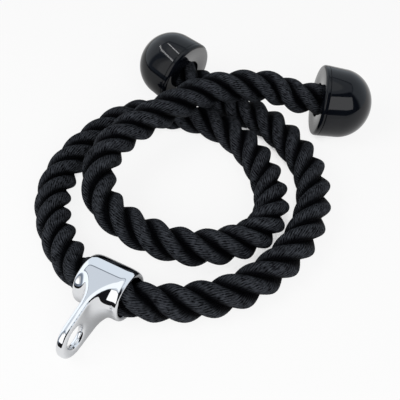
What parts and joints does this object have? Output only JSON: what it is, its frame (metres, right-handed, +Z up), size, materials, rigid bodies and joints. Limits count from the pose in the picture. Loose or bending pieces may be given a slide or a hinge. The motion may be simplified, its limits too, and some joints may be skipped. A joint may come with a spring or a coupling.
{
  "type": "triceps rope attachment",
  "caption": "Cable-machine pull rope: a twisted rope through the collar of a flat-lugged steel bracket, each end held in a domed plastic cap, lying in a loose loop.",
  "frame": {"origin": "on the floor under the middle of the box round the bracket and the two caps", "axes": "+X along the collar's bore towards the shorter arm, +Y from the bracket towards the loops and caps, +Z up"},
  "size_m": [0.2039, 0.3032, 0.056],
  "materials": {
    "bracket_chrome": "bright mirror plating over a smooth casting",
    "rope_fibre": "three-strand twisted black fibre, matt with a faint sheen along the yarns",
    "ferrule_steel": "plain crimped steel, hidden inside the caps",
    "cap_plastic": "smooth glossy black moulding"
  },
  "bodies": {
    "rope": {"rope_long_arm": "rope_fibre", "rope_short_arm": "rope_fibre", "long_arm_ferrule": "ferrule_steel", "short_arm_ferrule": "ferrule_steel"},
    "bracket": {"bracket": "bracket_chrome"},
    "long_arm_cap": {"long_arm_cap_shell": "cap_plastic", "long_arm_cap_base": "cap_plastic"},
    "short_arm_cap": {"short_arm_cap_shell": "cap_plastic", "short_arm_cap_base": "cap_plastic"}
  },
  "joints": [
    {"name": "bracket_turn", "type": "hinge", "parent": "rope", "child": "bracket", "pos_m": [0.00434, -0.09965, 0.01625], "axis": [1, 0, 0], "range_deg": [-135, 135]},
    {"name": "long_arm_cap_turn", "type": "hinge", "parent": "rope", "child": "long_arm_cap", "pos_m": [0.05294, 0.11815, 0.02894], "axis": [0.8938, 0.4263, -0.1392], "continuous": true},
    {"name": "short_arm_cap_turn", "type": "hinge", "parent": "rope", "child": "short_arm_cap", "pos_m": [-0.05186, 0.09765, 0.02692], "axis": [-0.9695, 0.1885, 0.1564], "continuous": true}
  ]
}
